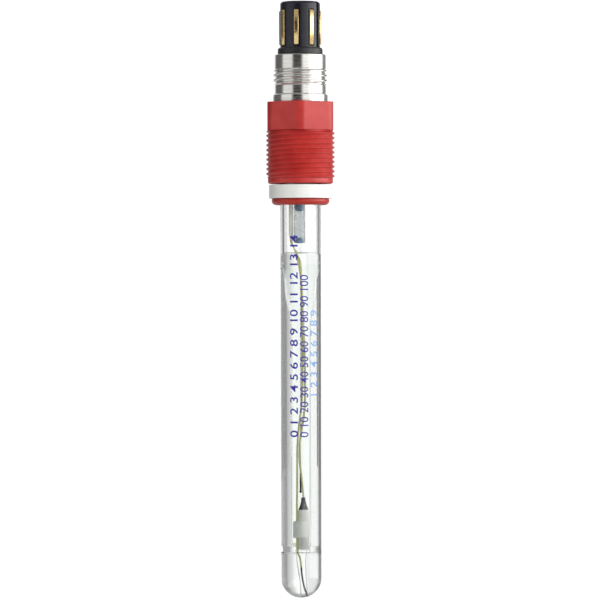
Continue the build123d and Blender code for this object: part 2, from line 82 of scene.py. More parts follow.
# points on a circle: centre + radius * (cos t, sin t), t from start to end in degrees
def arcLine(centre, radius, start, end, count):
    turn = np.radians(np.linspace(start, end, count))
    return np.array(centre) + radius * np.stack([np.cos(turn), np.sin(turn)], 1)


# cubic Hermite curve through points; inner tangents are half the step between the neighbours
def curvedLine(points, startTangent, endTangent, steps=14):
    points = np.array(points, float)
    tangents = np.gradient(points, axis=0)
    tangents[0] = startTangent
    tangents[-1] = endTangent
    share = np.linspace(0, 1, steps, endpoint=False)[:, None]
    runs = []
    for index in range(len(points) - 1):
        a, b = points[index], points[index + 1]
        u, v = tangents[index], tangents[index + 1]
        runs.append(
            a * (2 * share**3 - 3 * share**2 + 1) + u * (share**3 - 2 * share**2 + share)
            + b * (3 * share**2 - 2 * share**3) + v * (share**3 - share**2)
        )
    return np.concatenate(runs + [points[-1:]])


# the same line moved sideways: point + distance * (dz, -dr) / length, to the right of its direction
def movedLine(line, distance):
    step = np.gradient(line, axis=0)
    step /= np.linalg.norm(step, axis=1)[:, None]
    return line + distance * np.stack([step[:, 1], -step[:, 0]], 1)


# quads of a grid stored row by row, closed round its columns
def gridFaces(columns, rows):
    column, row = np.meshgrid(np.arange(columns), np.arange(rows - 1))
    column, row = column.ravel(), row.ravel()
    after = (column + 1) % columns
    here, above = row * columns, (row + 1) * columns
    return np.stack([here + column, here + after, above + after, above + column], 1)


# radius r and level z given on a grid (row, column): x = cx + r cos t, y = cy + r sin t
def roundGrid(radii, heights, angles, centre=(0, 0)):
    x = centre[0] + radii * np.cos(angles)
    y = centre[1] + radii * np.sin(angles)
    points = np.stack([x, y, np.broadcast_to(heights, x.shape)], -1).reshape(-1, 3)
    return points, gridFaces(x.shape[1], x.shape[0])


# an (r, z) line carried round the axis; it runs up on an outer side and down on an inner one
def turned(line, columns=96, centre=(0, 0)):
    angles = np.linspace(0, 2 * pi, columns, endpoint=False)
    return roundGrid(line[:, :1] + 0 * angles, line[:, 1:], angles, centre)


# the same, round shared column angles, so that it joins a grid with those columns
def turnedAt(line, angles):
    return roundGrid(line[:, :1] + 0 * angles, line[:, 1:], angles)


# a thread whose rows climb with the helix: z = start + pitch * (row / rowsPerRidge + starts * t / 2 pi),
# r = core + height of the ridge at that share of the pitch, cut off by a slope at both ends
def threadGrid(thread, angles):
    offsets = np.array([point[0] for point in thread["ridge"]])
    heights = np.array([point[1] for point in thread["ridge"]])
    starts = thread["starts"]
    perTurn = len(offsets) * starts
    ridges = int((thread["top"] - thread["bottom"]) / thread["pitch"]) + 2 * starts + 3
    rise = (np.arange(ridges)[:, None] + offsets / thread["pitch"]).ravel() - starts - 1
    share = starts * (angles - angles[0]) / (2 * pi)
    level = thread["bottom"] + thread["start"] + thread["pitch"] * (rise[:, None] + share)
    height = np.tile(heights, ridges)[:, None] + 0 * share
    height = np.minimum(height, (level - thread["bottom"]) * thread["slopes"][0])
    height = np.minimum(height, (thread["top"] - level) * thread["slopes"][1])
    radius = thread["core"] + np.maximum(height, 0)
    level = np.clip(level, thread["bottom"], thread["top"])
    points = np.stack([radius * np.cos(angles), radius * np.sin(angles), level], -1)
    rows, columns = level.shape
    column, row = np.meshgrid(np.arange(columns), np.arange(rows - 1 - perTurn))
    column, row = column.ravel(), row.ravel()
    closing = column == columns - 1
    after = np.where(closing, 0, column + 1)
    shifted = row + np.where(closing, perTurn, 0)
    faces = [row * columns + column, shifted * columns + after]
    faces += [(shifted + 1) * columns + after, (row + 1) * columns + column]
    return points.reshape(-1, 3), np.stack(faces, 1)


# several grids as one
def joined(*grids):
    shift = 0
    points, faces = [], []
    for gridPoints, gridQuads in grids:
        points.append(gridPoints)
        faces.append(gridQuads + shift)
        shift += len(gridPoints)
    return np.concatenate(points), np.concatenate(faces)


weld = {"distance": 2e-7, "thinnest": 1e-8}  # metres


# merges the seams and poles, turns on smooth shading and marks what is sharper than the angle
def finishMesh(mesh, sharp=30):
    work = bmesh.new()
    work.from_mesh(mesh)
    bmesh.ops.remove_doubles(work, verts=work.verts, dist=weld["distance"])
    bmesh.ops.dissolve_degenerate(work, edges=work.edges, dist=weld["thinnest"])
    work.to_mesh(mesh)
    work.free()
    mesh.polygons.foreach_set("use_smooth", np.ones(len(mesh.polygons), bool))
    mesh.set_sharp_from_angle(angle=radians(sharp))
    mesh.update()


# a piece on a body, from (points, quads) in mm; faceLooks gives each quad the index of its material
def addPiece(name, grid, finishes, replaces=(), body="electrode", faceLooks=None, sharp=30):
    points, faces = grid
    mesh = bpy.data.meshes.new(name)
    mesh.from_pydata((points * mm).tolist(), [], faces.tolist())
    for look in finishes:
        mesh.materials.append(look)
    if faceLooks is not None:
        mesh.polygons.foreach_set("material_index", np.array(faceLooks, np.int32))
    finishMesh(mesh, sharp)
    return place(name, mesh, replaces, body)


# an object for the mesh, carried by a body, with the nodes that it stands for hidden
def place(name, mesh, replaces=(), body="electrode"):
    piece = bpy.data.objects.new(name, mesh)
    bpy.context.scene.collection.objects.link(piece)
    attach(piece, body)
    if replaces:
        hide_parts(*replaces)
    return piece


# a smooth piece in the place of a CAD node: its mesh copied, merged and shaded by angle
def smoothNode(name, node, look, sharp=35):
    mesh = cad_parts[node].data.copy()
    mesh.name = name
    mesh.materials.clear()
    mesh.materials.append(look)
    finishMesh(mesh, sharp)
    return place(name, mesh, (node,))


# a CAD node that stays as it is, in a better material
def dressNode(node, look):
    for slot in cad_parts[node].material_slots:
        slot.material = look


# materials

# a material with one Principled shader, its even values set on its own sockets
def newLook(name, colour, rough, **sockets):
    look = bpy.data.materials.new(name)
    look.use_nodes = True
    shader = look.node_tree.nodes["Principled BSDF"]
    shader.inputs["Base Color"].default_value = (*colour, 1)
    shader.inputs["Roughness"].default_value = rough
    for socket, value in sockets.items():
        shader.inputs[socket.replace("_", " ")].default_value = value
    look.diffuse_color = (*colour, 1)
    return look


# joins two sockets in the material's own tree
def link(look, output, socket):
    look.node_tree.links.new(output, socket)


# fine noise on Object coordinates, stretched by its scale along each axis
def noise(look, scale, detail=4, rough=0.55):
    nodes = look.node_tree.nodes
    coordinates = nodes.new("ShaderNodeTexCoord")
    stretch = nodes.new("ShaderNodeMapping")
    stretch.inputs["Scale"].default_value = scale
    pattern = nodes.new("ShaderNodeTexNoise")
    pattern.inputs["Scale"].default_value = 1
    pattern.inputs["Detail"].default_value = detail
    pattern.inputs["Roughness"].default_value = rough
    link(look, coordinates.outputs["Object"], stretch.inputs["Vector"])
    link(look, stretch.outputs["Vector"], pattern.inputs["Vector"])
    return pattern.outputs["Fac"]


# shader colour mixed from a darker and a lighter one by the noise
def mottle(look, pattern, dark, light, spread=(0.35, 0.65)):
    ramp = look.node_tree.nodes.new("ShaderNodeValToRGB")
    ramp.color_ramp.elements[0].position = spread[0]
    ramp.color_ramp.elements[0].color = (*dark, 1)
    ramp.color_ramp.elements[1].position = spread[1]
    ramp.color_ramp.elements[1].color = (*light, 1)
    link(look, pattern, ramp.inputs["Fac"])
    link(look, ramp.outputs["Color"], look.node_tree.nodes["Principled BSDF"].inputs["Base Color"])


# roughness between two values by the noise
def roughen(look, pattern, low, high):
    spread = look.node_tree.nodes.new("ShaderNodeMapRange")
    spread.inputs["From Min"].default_value = 0.3
    spread.inputs["From Max"].default_value = 0.7
    spread.inputs["To Min"].default_value = low
    spread.inputs["To Max"].default_value = high
    link(look, pattern, spread.inputs["Value"])
    link(look, spread.outputs["Result"], look.node_tree.nodes["Principled BSDF"].inputs["Roughness"])


# surface raised by the noise, depth in mm
def raiseSurface(look, pattern, depth, strength=1.0):
    nodes = look.node_tree.nodes
    bump = nodes.new("ShaderNodeBump")
    bump.inputs["Strength"].default_value = strength
    bump.inputs["Distance"].default_value = depth * mm
    link(look, pattern, bump.inputs["Height"])
    shader = nodes["Principled BSDF"]
    if shader.inputs["Normal"].is_linked:
        link(look, shader.inputs["Normal"].links[0].from_socket, bump.inputs["Normal"])
    link(look, bump.outputs["Normal"], shader.inputs["Normal"])


glass = {
    "tint": (0.985, 0.995, 0.99),
    "air": 1.5,  # refraction towards air
    "gel": 1.5 / 1.36,  # towards the reference gel
    "buffer": 1.5 / 1.34,  # towards the buffer in the stem and bulb
    "waviness": (60, 60, 9),  # noise scale along each axis
    "waveDepth": 0.004,  # mm
}


# clear glass towards what it touches on that side, with long shallow waves down the tube
def glassLook(name, refraction):
    look = newLook(name, glass["tint"], 0, Transmission_Weight=1.0, IOR=refraction)
    raiseSurface(look, noise(look, glass["waviness"], 2), glass["waveDepth"])
    return look


# a still clear liquid; at the glass it bends nothing more, because the glass has done so
def liquidLook(name, tint, refraction):
    return newLook(name, tint, 0, Transmission_Weight=1.0, IOR=refraction)


redPlastic = {
    "name": "redPlastic",
    "even": (0.44, 0.024, 0.02),  # plain colour and roughness under the patterns
    "evenRough": 0.4,
    "refraction": 1.5,
    "dark": (0.41, 0.018, 0.016),
    "light": (0.48, 0.03, 0.024),
    "rough": (0.36, 0.5),
    "patches": ((250, 250, 250), 5),  # noise scale along each axis, detail
    "sheen": ((900, 900, 700), 3),
    "grit": ((2600, 2600, 2600), 3),
    "depth": 0.018,  # mm
}
blackPlastic = {
    "name": "blackPlastic",
    "even": (0.008, 0.008, 0.016),
    "evenRough": 0.3,
    "refraction": 1.45,
    "dark": (0.006, 0.006, 0.012),
    "light": (0.01, 0.01, 0.02),
    "rough": (0.24, 0.36),
    "patches": ((300, 300, 300), 4),
    "sheen": ((800, 800, 800), 3),
    "grit": ((1500, 1500, 1500), 2),
    "depth": 0.01,
}


# a moulded plastic: colour in soft patches, uneven sheen and a fine grit raised on it
def mouldedLook(finish):
    look = newLook(finish["name"], finish["even"], finish["evenRough"], IOR=finish["refraction"])
    mottle(look, noise(look, *finish["patches"]), finish["dark"], finish["light"])
    roughen(look, noise(look, *finish["sheen"]), *finish["rough"])
    raiseSurface(look, noise(look, *finish["grit"]), finish["depth"])
    return look


turnedSteel = {
    "even": (0.75, 0.74, 0.71),
    "evenRough": 0.22,
    "brushing": 0.7,  # how much wider gloss spreads across the turning marks than along them
    "dark": (0.68, 0.67, 0.64),
    "light": (0.8, 0.79, 0.76),
    "rough": (0.16, 0.29),
    "bands": ((120, 120, 5000), 3),
    "marks": ((40, 40, 14000), 3, 0.7),
    "depth": 0.004,  # mm
}


# turned steel: noise drawn out round the axis, and gloss that spreads along the axis
def steelLook():
    look = newLook(
        "turnedSteel", turnedSteel["even"], turnedSteel["evenRough"],
        Metallic=1.0, Anisotropic=turnedSteel["brushing"], Anisotropic_Rotation=0.25,
    )
    nodes = look.node_tree.nodes
    grain = nodes.new("ShaderNodeTangent")
    grain.direction_type = "RADIAL"
    grain.axis = "Z"
    link(look, grain.outputs["Tangent"], nodes["Principled BSDF"].inputs["Tangent"])
    marks = noise(look, *turnedSteel["marks"])
    mottle(look, noise(look, *turnedSteel["bands"]), turnedSteel["dark"], turnedSteel["light"])
    roughen(look, marks, *turnedSteel["rough"])
    raiseSurface(look, marks, turnedSteel["depth"])
    return look


# an even plastic, rubber or ceramic with a fine grain
def grainedLook(name, dark, light, rough, grain, depth, **sockets):
    middle = tuple((a + b) / 2 for a, b in zip(dark, light))
    look = newLook(name, middle, rough[0], **sockets)
    mottle(look, noise(look, (grain / 4, grain / 4, grain / 4), 4), dark, light)
    roughen(look, noise(look, (grain, grain, grain), 3), *rough)
    raiseSurface(look, noise(look, (grain, grain, grain), 3), depth)
    return look


looks = {
    "glassAir": glassLook("glassToAir", glass["air"]),
    "glassGel": glassLook("glassToGel", glass["gel"]),
    "glassBuffer": glassLook("glassToBuffer", glass["buffer"]),
    "liquid": liquidLook("liquidBody", (0.985, 0.99, 0.985), 1.0),
    "meniscus": liquidLook("liquidSurface", (0.99, 0.995, 0.99), 1.34),
    "red": mouldedLook(redPlastic),
    "steel": steelLook(),
    "plug": mouldedLook(blackPlastic),
    "redRubber": grainedLook(
        "redRubber", (0.36, 0.014, 0.008), (0.44, 0.022, 0.012), (0.3, 0.42), 900, 0.01,
    ),
    "blackRubber": grainedLook(
        "blackRubber", (0.008, 0.008, 0.01), (0.014, 0.014, 0.017), (0.35, 0.5), 1200, 0.008,
    ),
    "white": grainedLook("whitePlastic", (0.73, 0.745, 0.71), (0.79, 0.8, 0.77), (0.32, 0.45), 1400, 0.006),
    "ceramic": grainedLook("whiteCeramic", (0.9, 0.9, 0.86), (0.96, 0.96, 0.93), (0.4, 0.55), 1200, 0.01),
    "porous": grainedLook("porousCeramic", (0.62, 0.58, 0.5), (0.8, 0.77, 0.7), (0.7, 0.85), 2600, 0.03),
    "cloudy": grainedLook(
        "cloudyPlastic", (0.8, 0.83, 0.84), (0.9, 0.92, 0.92), (0.2, 0.32), 500, 0.006,
        Transmission_Weight=0.88, IOR=1.2,
    ),
    "blue": grainedLook("bluePlastic", (0.12, 0.36, 0.72), (0.2, 0.48, 0.84), (0.35, 0.5), 700, 0.01),
    "cream": grainedLook("creamInsulation", (0.92, 0.91, 0.8), (0.97, 0.96, 0.86), (0.4, 0.55), 900, 0.01),
    "olive": grainedLook("oliveInsulation", (0.52, 0.5, 0.22), (0.64, 0.62, 0.32), (0.35, 0.5), 900, 0.01),
    "amber": grainedLook("amberInsulation", (0.58, 0.52, 0.2), (0.7, 0.64, 0.3), (0.3, 0.45), 900, 0.01),
    "bead": grainedLook("darkBead", (0.025, 0.025, 0.028), (0.07, 0.07, 0.075), (0.25, 0.4), 900, 0.02),
    "blackCoat": grainedLook("blackCoat", (0.012, 0.012, 0.012), (0.03, 0.03, 0.032), (0.5, 0.7), 3000, 0.02),
    "darkWire": grainedLook(
        "darkWire", (0.05, 0.05, 0.055), (0.1, 0.1, 0.105), (0.3, 0.45), 2000, 0.006, Metallic=0.8,
    ),
    "silver": grainedLook(
        "silverWire", (0.6, 0.58, 0.53), (0.72, 0.7, 0.66), (0.25, 0.4), 2000, 0.006, Metallic=1.0,
    ),
    "resin": grainedLook("castResin", (0.05, 0.05, 0.055), (0.09, 0.09, 0.1), (0.4, 0.6), 300, 0.02),
    "gilt": grainedLook(
        "giltContact", (0.95, 0.66, 0.28), (1.0, 0.78, 0.4), (0.16, 0.28), 1500, 0.004, Metallic=1.0,
    ),
    "navyInk": grainedLook("navyInk", (0.03, 0.022, 0.3), (0.042, 0.034, 0.38), (0.35, 0.5), 2500, 0.004),
    "blueInk": grainedLook("blueInk", (0.12, 0.28, 0.6), (0.18, 0.36, 0.7), (0.35, 0.5), 2500, 0.004),
}
print("materials made:", len(looks))


# glass body: shaft, flared stem, ring seal and bulb in one, with real walls
body = {
    "radius": 6.0,
    "bore": 5.0,
    "seamTop": -17.2,
    "seamBottom": -19.8,
    "stemRadius": 2.15,
    "stemWall": 0.3,
    "flare": [(5.0, -19.8), (3.72, -23.6), (3.35, -29.4), (2.15, -37.8)],
    "flareStart": (-1.6, -3.4),  # steps along the curve at its two ends
    "flareEnd": (0.0, -7.0),
    "sealTop": -103.0,
    "sealBottom": -104.6,
    "sealFillet": 0.9,
    "bulbBore": 5.45,
    "bulbShoulder": 1.2,
    "liquidLevel": -16.5,
    "meniscusRise": 0.4,
    "meniscusReach": 0.9,
    "meniscusPoints": 24,
    "gap": 0.012,  # between a liquid and the glass round it
    "columns": 128,
}
tip = levels("membrane_bulb")[0]
dome = tip + body["radius"]
shaftTop = levels("shaft_tube")[1]


# the stem's outside down its flare and shank to the ring seal
def stemOutside(gap=0.0):
    flare = curvedLine(body["flare"], body["flareStart"], body["flareEnd"])
    fillet = body["sealFillet"]
    foot = arcLine((body["stemRadius"] + fillet, body["sealTop"] + fillet), fillet, 180, 270, 9)
    return movedLine(np.concatenate([flare, foot]), -gap)


# the stem's inside from its top edge down to the ring seal's underside
def stemInside(gap=0.0):
    flare = curvedLine(body["flare"], body["flareStart"], body["flareEnd"])
    inside = movedLine(flare, body["stemWall"] + gap)
    inside[-1, 0] = body["stemRadius"] - body["stemWall"] - gap
    edge = body["bore"] - body["stemWall"] - gap
    top = [(edge, body["seamTop"] - gap)]
    return np.concatenate([top, inside, [(inside[-1, 0], body["sealBottom"] - gap)]])


# the bulb's inside from the ring seal's underside down to its pole
def bulbInside(gap=0.0):
    bore, shoulder = body["bulbBore"] - gap, body["bulbShoulder"]
    ceiling = body["sealBottom"] - gap
    corner = arcLine((bore - shoulder, ceiling - shoulder), shoulder, 90, 0, 9)
    return np.concatenate([corner, arcLine((0, dome), bore, 0, -90, 29)])


# three turned skins make one closed wall: outside to air, wet inside to buffer, chamber to gel
def makeGlassBody():
    outside = np.concatenate([
        arcLine((0, dome), body["radius"], -90, 0, 33),
        easedLine([(body["radius"], dome + 1), (body["radius"], shaftTop, 0.2), (body["bore"], shaftTop, 0.2),
                   (body["bore"], body["liquidLevel"])]),
    ])
    wet = np.concatenate([
        [(body["bore"], body["liquidLevel"]), (body["bore"], body["seamTop"])], stemInside(), bulbInside(),
    ])
    bore = [(body["bore"], body["seamBottom"]), (body["bore"], body["sealTop"])]
    chamber = np.concatenate([bore, stemOutside()[::-1]])
    grids = [turned(line, body["columns"]) for line in (outside, wet, chamber)]
    kinds = np.repeat([0, 1, 2], [len(grid[1]) for grid in grids])
    faces = ("shaft_tube", "stem_tube", "membrane_bulb")
    glassLooks = [looks["glassAir"], looks["glassBuffer"], looks["glassGel"]]
    addPiece("glassBody", joined(*grids), glassLooks, faces, faceLooks=kinds, sharp=40)


# buffer with its meniscus: z = level + rise * exp(-(bore - r) / reach)
def makeLiquids():
    gap = body["gap"]
    edge = body["bore"] - gap
    r = np.linspace(edge, 0, body["meniscusPoints"])
    rise = body["meniscusRise"] * np.exp((r - edge) / body["meniscusReach"])
    meniscus = np.stack([r, body["liquidLevel"] + rise], 1)
    rim = [(edge, body["seamTop"] - gap), meniscus[0]]
    side = np.concatenate([bulbInside(gap)[::-1], stemInside(gap)[::-1], rim])
    grids = [turned(line, body["columns"]) for line in (side, meniscus)]
    kinds = np.repeat([0, 1], [len(grid[1]) for grid in grids])
    finishes = [looks["liquid"], looks["meniscus"]]
    addPiece("bufferFilling", joined(*grids), finishes, faceLooks=kinds)
    inside = stemOutside(gap)[::-1]
    wall = [(inside[0, 0], body["sealTop"] + gap), (edge, body["sealTop"] + gap), (edge, inside[-1, 1])]
    filling = np.concatenate([wall, inside[::-1]])
    addPiece("gelFilling", turned(filling, body["columns"]), [looks["liquid"]])


finger = {
    "mouth": -104.15,
    "neck": -106.35,
    "radii": (1.6, 1.12, 0.78),
    "steps": ((-0.9, -1.0), (-0.1, -6.0)),  # along the side's curve at its two ends
    "wall": 0.22,
    "shift": 0.55,
    "floorLift": 1.3,
    "sink": 0.1,  # of its foot into the dome
    "columns": 40,
}


# tapered finger on the dome: a turned side, shifted by s * s * (3 - 2 s) for the share s of its fall
def makeFinger():
    floor = dome - body["bulbBore"] + finger["floorLift"]
    spots = list(zip(finger["radii"], (finger["mouth"], finger["neck"], floor)))
    side = curvedLine(spots, *finger["steps"], 12)
    foot = dome - (body["bulbBore"] + finger["sink"])
    inside = movedLine(side, finger["wall"])
    bottom = arcLine((0, inside[-1, 1]), inside[-1, 0], 0, -90, 7)
    line = np.concatenate([[(0, foot), (finger["radii"][2], foot)], side[::-1], inside, bottom])
    points, faces = turned(line, finger["columns"])
    fall = np.clip((finger["neck"] - points[:, 2]) / (finger["neck"] - floor), 0, 1)
    points[:, 0] += finger["shift"] * fall * fall * (3 - 2 * fall)
    finishes = [looks["glassBuffer"]]
    addPiece("fingerTube", (points, faces), finishes, ("finger_tube",), sharp=40)


makeGlassBody()
makeLiquids()
makeFinger()
print("glass and liquids made")


# parts inside the glass
cartridge = {
    "radius": 1.7,
    "wall": 0.3,
    "edge": 0.06,
    "shift": (-0.35, 0),
    "plugGap": 0.04,
    "plugEdge": 0.1,
    "plugRounding": 0.6,
    "columns": 48,
}


# a turned tube with a turned plug in each end, all round the same shifted axis
def makeCartridge():
    bottom, top = levels("cartridge_tube")
    outer, inner = cartridge["radius"], cartridge["radius"] - cartridge["wall"]
    edge, columns, shift = cartridge["plugEdge"], cartridge["columns"], cartridge["shift"]
    wall = [(outer, bottom, cartridge["edge"]), (outer, top, cartridge["edge"])]
    tube = turned(easedLine([(inner, bottom), *wall, (inner, top), (inner, bottom)], 3), columns, shift)
    addPiece("cartridgeTube", tube, [looks["cloudy"]], ("cartridge_tube",))
    plug = inner - cartridge["plugGap"]
    low, high = levels("cartridge_plug_lower")
    ease = cartridge["plugRounding"]
    line = easedLine([(0, low), (plug, low, edge), (plug, high, ease), (0, high)], 6)
    lower = turned(line, columns, shift)
    addPiece("cartridgePlugLower", lower, [looks["blue"]], ("cartridge_plug_lower",))
    low, high = levels("cartridge_plug_upper")
    line = easedLine([(0, low), (plug, low, ease), (plug, high, edge), (0, high)], 6)
    upper = turned(line, columns, shift)
    addPiece("cartridgePlugUpper", upper, [looks["blue"]], ("cartridge_plug_upper",))


diaphragm = {"radius": 0.5, "level": -97.4, "proud": 0.02, "edge": 0.04, "edgeShare": 0.94, "columns": 28}


# porous pin through the back wall, its ends a hair proud of the glass on both sides:
# x = radius * share * sin t, y = the depth on the glass's own round, z = level + radius * share * cos t
def makeDiaphragm():
    inner, outer = body["bore"] - diaphragm["proud"], body["radius"] + diaphragm["proud"]
    edge, rim, columns = diaphragm["edge"], diaphragm["edgeShare"], diaphragm["columns"]
    turn = np.linspace(0, 2 * pi, columns, endpoint=False)
    share = np.array([0, rim, 1, 1, rim, 0])[:, None]
    depth = np.array([inner, inner, inner + edge, outer - edge, outer, outer])[:, None]
    x = diaphragm["radius"] * share * np.sin(turn)
    z = diaphragm["level"] + diaphragm["radius"] * share * np.cos(turn)
    y = np.sqrt(np.maximum(depth**2 - x**2, 0))
    grid = np.stack([x, y, z], -1).reshape(-1, 3), gridFaces(columns, len(share))
    addPiece("ceramicDiaphragm", grid, [looks["porous"]], ("ceramic_diaphragm",))


makeCartridge()
makeDiaphragm()
smoothNode("leadCable", "lead_cable", looks["cream"])
smoothNode("cartridgeLead", "cartridge_lead", looks["silver"])
smoothNode("groundLead", "ground_lead", looks["amber"], 45)
smoothNode("sensorLeadFront", "sensor_lead_1", looks["olive"], 45)
smoothNode("sensorLeadRear", "sensor_lead_2", looks["olive"], 45)
smoothNode("innerReferenceWire", "inner_reference_wire", looks["silver"], 45)
smoothNode("silverChlorideTip", "silver_chloride_tip", looks["blackCoat"], 45)
smoothNode("referenceWire", "reference_wire", looks["darkWire"], 45)
smoothNode("solutionGroundWire", "solution_ground_wire", looks["darkWire"], 45)
smoothNode("leadFerrule", "lead_ferrule", looks["bead"])
smoothNode("sensorBody", "sensor_body", looks["ceramic"])
smoothNode("sensorCollar", "sensor_collar", looks["ceramic"])
dressNode("head_potting", looks["resin"])
print("inner parts made")


# rings under the collar
slipRing = {
    "radius": 9.325,
    "bore": 6.08,
    "recess": 8.67,
    "roof": 0.77,
    "height": 4.0,
    "edges": (0.15, 0.1, 0.05),  # outside, bore's top and recess, bore's foot
    "columns": 144,
}


# a turned washer with a recess in its foot for the sealing ring
def makeSlipRing():
    outer, fine, least = slipRing["edges"]
    radius, bore, recess = slipRing["radius"], slipRing["bore"], slipRing["recess"]
    height, roof = slipRing["height"], slipRing["roof"]
    line = easedLine([
        (recess, 0), (radius, 0, outer), (radius, height, outer), (bore, height, fine), (bore, roof, least),
        (recess, roof, fine), (recess, 0),
    ])
    ring = turned(line, slipRing["columns"])
    addPiece("slipRing", ring, [looks["white"]], ("slip_ring",), "slip_ring")


sealingRing = {"centre": (7.225, -0.675), "section": 1.325, "points": 49, "columns": 144}


# a turned round section, pressed flat where it would pass into the shaft: r = at least the shaft's radius
def makeSealingRing():
    line = arcLine(sealingRing["centre"], sealingRing["section"], -180, 180, sealingRing["points"])
    line[:, 0] = np.maximum(line[:, 0], body["radius"])
    ring = turned(line, sealingRing["columns"])
    addPiece("sealingRing", ring, [looks["redRubber"]], ("shaft_o_ring",))


makeSlipRing()
makeSealingRing()


# screw collar: plain end, process thread and hexagon on shared columns
collar = {
    "bore": 6.1,
    "bottom": 4.35,
    "endRadius": 9.65,
    "endTop": 5.85,
    "endEdge": 0.35,
    "endEases": (0.08, 0.06),
    "hexBottom": 20.1,
    "top": 28.5,
    "flat": 9.75,  # from the axis to a flat
    "corner": 10.75,
    "sharpness": 260.0,  # of the line where a flat meets the turned corner
    "cornerEdge": 0.25,
    "edge": 0.1,  # moulded edge of a flat
    "socket": 7.35,
    "socketFloor": 20.8,
}
collarThread = {
    "bottom": 5.85,
    "top": 20.1,
    "core": 9.53,
    "pitch": 25.4 / 18,
    "starts": 1,
    "start": 0.63,
    "slopes": (1.0, 4.0),
    "ridge": [  # (along the pitch, height over the core)
        (0, 0.67), (0.055, 0.665), (0.095, 0.63), (0.34, 0.33), (0.6, 0.035), (0.655, 0.008), (0.7055, 0.0),
        (0.756, 0.008), (0.811, 0.035), (1.071, 0.33), (1.316, 0.63), (1.356, 0.665),
    ],
}


# columns of the collar: close together where a flat meets the turned corner
def collarAngles():
    bend = np.degrees(np.arccos(collar["flat"] / collar["corner"]))
    half = [0, 4, 8, 12, 16, 19, 21.5, 23.3, bend - 0.9, bend - 0.4, bend, bend + 0.4, bend + 0.9, 28]
    sixth = np.array([-angle for angle in half[:0:-1]] + half + [30])
    return np.radians(np.concatenate([60 * index + sixth for index in range(6)]))


# r = flat / cos(angle from the flat's middle), eased into the turned corner's radius:
# r to the power -n is the sum of the two radii to the power -n, with n the sharpness
def hexRadius(angles):
    fromFlat = (angles + radians(30)) % radians(60) - radians(30)
    flat = collar["flat"] / np.cos(fromFlat)
    sharpness = collar["sharpness"]
    return (flat**-sharpness + collar["corner"] ** -sharpness) ** (-1 / sharpness)


# bore and plain end, thread, hexagon, roof and socket, each a grid on the same columns
def makeCollar():
    angles = collarAngles()
    ease, fine = collar["endEases"]
    lower = easedLine([
        (collar["bore"], collar["socketFloor"]), (collar["bore"], collar["bottom"]),
        (collar["endRadius"] - collar["endEdge"], collar["bottom"], ease),
        (collar["endRadius"], collar["bottom"] + collar["endEdge"], ease),
        (collar["endRadius"], collar["endTop"], fine), (collarThread["core"], collar["endTop"]),
    ], 3)
    plan = hexRadius(angles)
    bottom, top, edge = collar["hexBottom"], collar["top"], collar["edge"]
    quarter = np.radians([0, 22.5, 45, 67.5, 90])
    rise = np.concatenate([bottom + edge * (1 - np.cos(quarter)), top - edge * (1 - np.sin(quarter))])
    inset = np.concatenate([edge * (1 - np.sin(quarter)), edge * (1 - np.cos(quarter))])
    cap = collar["corner"] - np.maximum(rise - (top - collar["cornerEdge"]), 0)
    flats = np.minimum(plan - inset[:, None], cap[:, None])
    foot = np.full((1, len(angles)), collarThread["core"])
    hexagon = roundGrid(np.concatenate([foot, flats]), np.concatenate([[bottom], rise])[:, None], angles)
    rim = np.stack([flats[-1], np.full(len(angles), collar["socket"])])
    roof = roundGrid(rim, np.array([[top], [top]]), angles)
    socket, floor = collar["socket"], collar["socketFloor"]
    pocket = turnedAt(np.array([(socket, top), (socket, floor), (collar["bore"], floor)]), angles)
    grids = [turnedAt(lower, angles), threadGrid(collarThread, angles), hexagon, roof, pocket]
    addPiece("screwCollar", joined(*grids), [looks["red"]], ("screw_collar",), sharp=28)


makeCollar()
print("collar and rings made")


# coupling sleeve: spigot, flange, plain lands and thread
sleeve = {
    "glassBore": 6.1,
    "bottom": 21.0,
    "spigot": 7.3,
    "collarTop": 28.5,
    "flange": 8.15,
    "flangeTop": 30.9,
    "flangeEdge": 0.35,
    "land": 7.6,
    "landTop": 33.35,
    "threadTop": 38.35,
    "top": 42.6,
    "topEdge": 0.35,
    "bore": 6.65,
    "shelf": 30.0,
    "eases": (0.12, 0.1, 0.06),  # of the corners, from the broad to the fine ones
    "columns": 144,
}
sleeveThread = {
    "bottom": 33.35,
    "top": 38.35,
    "core": 7.4,
    "pitch": 1.5,
    "starts": 2,
    "start": 0.1,
    "slopes": (1.0, 1.0),
    "ridge": [
        (0, 0.6), (0.09, 0.597), (0.14, 0.57), (0.36, 0.3), (0.57, 0.035), (0.64, 0.006), (0.75, 0.0),
        (0.86, 0.006), (0.93, 0.035), (1.14, 0.3), (1.36, 0.57), (1.41, 0.597),
    ],
}


